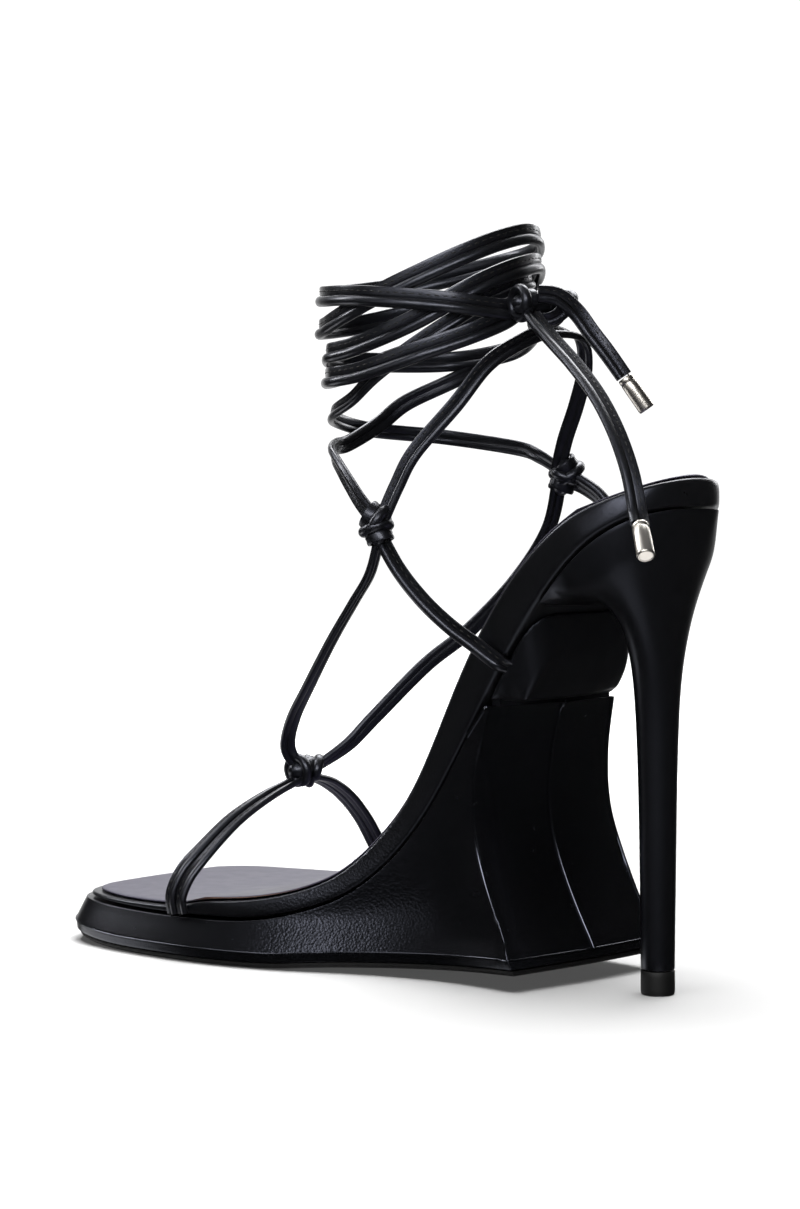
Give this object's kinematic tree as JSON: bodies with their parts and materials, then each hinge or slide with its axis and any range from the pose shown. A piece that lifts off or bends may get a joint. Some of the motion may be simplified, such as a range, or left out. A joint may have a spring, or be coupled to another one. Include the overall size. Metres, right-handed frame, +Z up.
{
  "type": "lace-up wedge stiletto sandal",
  "caption": "Open strappy sandal that laces round the ankle, on a thin square-toed platform running into an arch wedge, with a separate slim stiletto heel behind it.",
  "frame": {"origin": "on the floor under the ball of the foot, on the flat rest of the outsole", "axes": "+X forward to the toe, +Y to the big-toe side, +Z up"},
  "size_m": [0.2081, 0.0936, 0.2039],
  "materials": {
    "moulded_rubber": "matte moulded black",
    "black_leather": "satin smooth black leather",
    "tip_rubber": "matte black top piece",
    "sock_leather": "satin black sock leather",
    "strap_leather": "semi-gloss black piped and stitched leather",
    "polished_metal": "polished pale metal"
  },
  "bodies": {
    "root": {"outsole": "moulded_rubber", "platform_wedge": "moulded_rubber", "waist_cover": "black_leather", "heel": "black_leather", "heel_tip": "tip_rubber", "footbed": "black_leather", "insole": "sock_leather", "straps": "strap_leather", "tie_knot": "strap_leather", "tie_long": "strap_leather", "tie_short": "strap_leather", "aglet_long": "polished_metal", "aglet_short": "polished_metal"}
  },
  "joints": []
}
